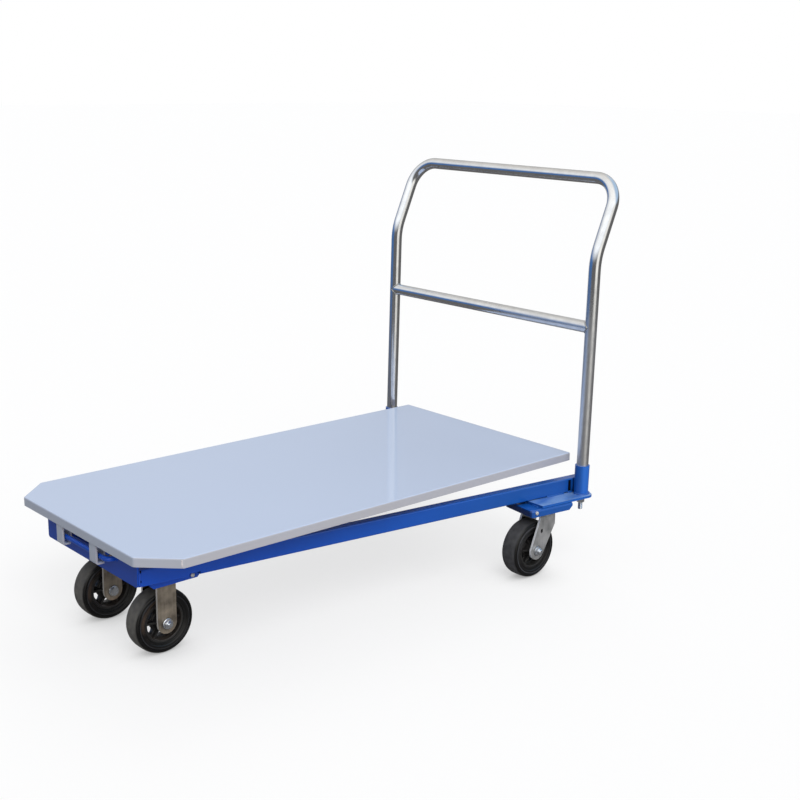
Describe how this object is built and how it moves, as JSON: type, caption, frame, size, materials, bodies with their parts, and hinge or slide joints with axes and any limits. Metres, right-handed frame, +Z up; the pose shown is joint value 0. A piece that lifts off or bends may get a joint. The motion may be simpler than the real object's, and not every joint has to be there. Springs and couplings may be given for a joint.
{
  "type": "nesting platform dolly",
  "caption": "Platform dolly with a clipped-corner sheet deck hinged on a V-shaped frame, a bent tube handle, rigid front casters and swivel rear casters.",
  "frame": {"origin": "on the floor, under the middle of the overall length and width", "axes": "+Z up, +X towards the handle end, +Y towards the right side"},
  "size_m": [1.377, 0.8262, 1.0337],
  "materials": {
    "deck_paint": "smooth semi-gloss light lilac-grey enamel",
    "frame_paint": "royal blue powder coat",
    "handle_chrome": "bright plated tube",
    "zinc_fasteners": "zinc plated",
    "bright_steel": "zinc plated, worn bright",
    "fork_zinc": "dull zinc plated pressing",
    "tyre_rubber": "matt black, dusty tread",
    "wheel_core": "black painted casting"
  },
  "bodies": {
    "frame": {"front_cross_plate": "frame_paint", "hinge_rod": "frame_paint", "frame_cross_bar": "frame_paint", "handle_tube": "handle_chrome", "handle_crossbar": "handle_chrome", "side_rail_left": "frame_paint", "front_mount_plate_left": "frame_paint", "rear_foot_plate_left": "frame_paint", "front_caster_bracket_left": "frame_paint", "rear_caster_bracket_left": "frame_paint", "front_bracket_bolt_left": "zinc_fasteners", "rear_bracket_bolt_left": "zinc_fasteners", "handle_socket_left": "frame_paint", "handle_stud_left": "zinc_fasteners", "handle_nut_left": "zinc_fasteners", "front_fork_left": "fork_zinc", "front_axle_bolt_left": "zinc_fasteners", "front_axle_nut_left": "zinc_fasteners", "front_axle_sleeve_left": "bright_steel", "rear_top_plate_left": "bright_steel", "side_rail_right": "frame_paint", "front_mount_plate_right": "frame_paint", "rear_foot_plate_right": "frame_paint", "front_caster_bracket_right": "frame_paint", "rear_caster_bracket_right": "frame_paint", "front_bracket_bolt_right": "zinc_fasteners", "rear_bracket_bolt_right": "zinc_fasteners", "handle_socket_right": "frame_paint", "handle_stud_right": "zinc_fasteners", "handle_nut_right": "zinc_fasteners", "front_fork_right": "fork_zinc", "front_axle_bolt_right": "zinc_fasteners", "front_axle_nut_right": "zinc_fasteners", "front_axle_sleeve_right": "bright_steel", "rear_top_plate_right": "bright_steel"},
    "deck": {"deck_pan": "deck_paint", "deck_stiffener_left": "deck_paint", "hinge_hook_left": "deck_paint", "deck_stiffener_right": "deck_paint", "hinge_hook_right": "deck_paint"},
    "front_wheel_left": {"front_tyre_left": "tyre_rubber", "front_wheel_core_left": "wheel_core"},
    "rear_swivel_left": {"rear_fork_left": "fork_zinc", "rear_ball_ring_left": "bright_steel", "rear_axle_bolt_left": "zinc_fasteners", "rear_axle_nut_left": "zinc_fasteners", "rear_axle_sleeve_left": "bright_steel"},
    "rear_wheel_left": {"rear_tyre_left": "tyre_rubber", "rear_wheel_core_left": "wheel_core"},
    "front_wheel_right": {"front_tyre_right": "tyre_rubber", "front_wheel_core_right": "wheel_core"},
    "rear_swivel_right": {"rear_fork_right": "fork_zinc", "rear_ball_ring_right": "bright_steel", "rear_axle_bolt_right": "zinc_fasteners", "rear_axle_nut_right": "zinc_fasteners", "rear_axle_sleeve_right": "bright_steel"},
    "rear_wheel_right": {"rear_tyre_right": "tyre_rubber", "rear_wheel_core_right": "wheel_core"}
  },
  "joints": [
    {"name": "deck_hinge", "type": "hinge", "parent": "frame", "child": "deck", "pos_m": [-0.67374, 0, 0.244], "axis": [0, -1, 0], "range_deg": [0, 60]},
    {"name": "front_wheel_spin_left", "type": "hinge", "parent": "frame", "child": "front_wheel_left", "pos_m": [-0.55374, -0.121, 0.07521], "axis": [0, 1, 0], "continuous": true},
    {"name": "front_wheel_spin_right", "type": "hinge", "parent": "frame", "child": "front_wheel_right", "pos_m": [-0.55374, 0.121, 0.07521], "axis": [0, 1, 0], "continuous": true},
    {"name": "rear_swivel_left", "type": "hinge", "parent": "frame", "child": "rear_swivel_left", "pos_m": [0.45576, -0.345, 0.1905], "axis": [0, 0, 1], "continuous": true},
    {"name": "rear_wheel_spin_left", "type": "hinge", "parent": "rear_swivel_left", "child": "rear_wheel_left", "pos_m": [0.41776, -0.345, 0.07521], "axis": [0, 1, 0], "continuous": true},
    {"name": "rear_swivel_right", "type": "hinge", "parent": "frame", "child": "rear_swivel_right", "pos_m": [0.45576, 0.345, 0.1905], "axis": [0, 0, 1], "continuous": true},
    {"name": "rear_wheel_spin_right", "type": "hinge", "parent": "rear_swivel_right", "child": "rear_wheel_right", "pos_m": [0.41776, 0.345, 0.07521], "axis": [0, 1, 0], "continuous": true}
  ]
}
